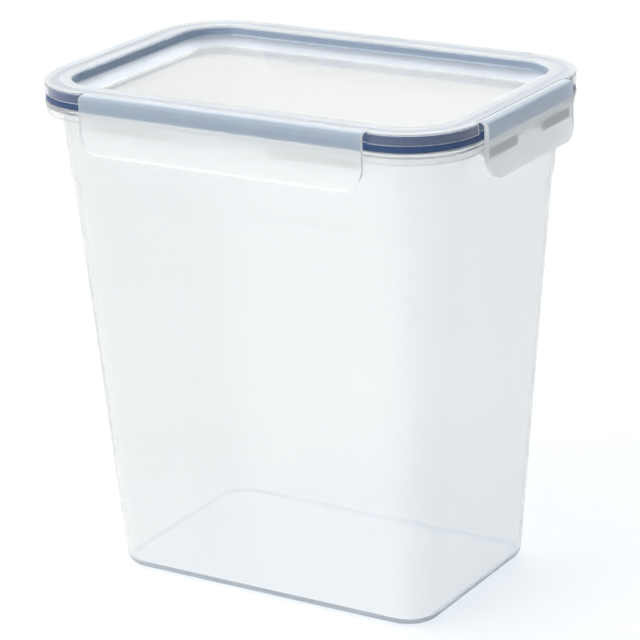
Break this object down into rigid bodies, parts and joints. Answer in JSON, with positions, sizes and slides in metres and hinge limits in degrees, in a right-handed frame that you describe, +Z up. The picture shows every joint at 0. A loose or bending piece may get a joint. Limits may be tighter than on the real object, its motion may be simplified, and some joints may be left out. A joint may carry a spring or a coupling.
{
  "type": "food canister",
  "caption": "Tall clear rectangular food canister with a recessed lift-off lid, a soft seal under its ring and hinged side latches that snap under the rim.",
  "frame": {"origin": "centre of the base, on the surface that the canister stands on", "axes": "+Z up, X along the long sides with +X to the right, -Y towards the front long side"},
  "size_m": [0.2132, 0.148, 0.2208],
  "materials": {
    "box_plastic": "clear, smooth moulded polypropylene",
    "lid_plastic": "clear, slightly milky moulded polypropylene",
    "latch_plastic": "frosted translucent polypropylene",
    "seal_silicone": "satin blue silicone"
  },
  "bodies": {
    "box": {"container_body": "box_plastic"},
    "lid": {"lid": "lid_plastic", "lid_seal": "seal_silicone", "front_hinge_film": "lid_plastic", "back_hinge_film": "lid_plastic", "left_hinge_film": "lid_plastic", "right_hinge_film": "lid_plastic"},
    "front_flap": {"front_latch": "latch_plastic", "front_latch_ridges": "latch_plastic"},
    "back_flap": {"back_latch": "latch_plastic", "back_latch_ridges": "latch_plastic"},
    "left_flap": {"left_latch": "latch_plastic", "left_latch_ridges": "latch_plastic"},
    "right_flap": {"right_latch": "latch_plastic", "right_latch_ridges": "latch_plastic"}
  },
  "joints": [
    {"name": "lid_lift", "type": "slide", "parent": "box", "child": "lid", "axis": [0, 0, 1], "range_m": [0, 0.08], "deforming": ["front_latch_ridges", "back_latch_ridges", "left_latch_ridges", "right_latch_ridges"]},
    {"name": "front_latch_hinge", "type": "hinge", "parent": "lid", "child": "front_flap", "pos_m": [0, -0.06905, 0.22055], "axis": [-1, 0, 0], "range_deg": [0, 170], "deforming": ["front_hinge_film"]},
    {"name": "back_latch_hinge", "type": "hinge", "parent": "lid", "child": "back_flap", "pos_m": [0, 0.06905, 0.22055], "axis": [1, 0, 0], "range_deg": [0, 170], "deforming": ["back_hinge_film"]},
    {"name": "left_latch_hinge", "type": "hinge", "parent": "lid", "child": "left_flap", "pos_m": [-0.1016, 0, 0.22055], "axis": [0, 1, 0], "range_deg": [0, 170], "deforming": ["left_hinge_film"]},
    {"name": "right_latch_hinge", "type": "hinge", "parent": "lid", "child": "right_flap", "pos_m": [0.1016, 0, 0.22055], "axis": [0, -1, 0], "range_deg": [0, 170], "deforming": ["right_hinge_film"]}
  ]
}
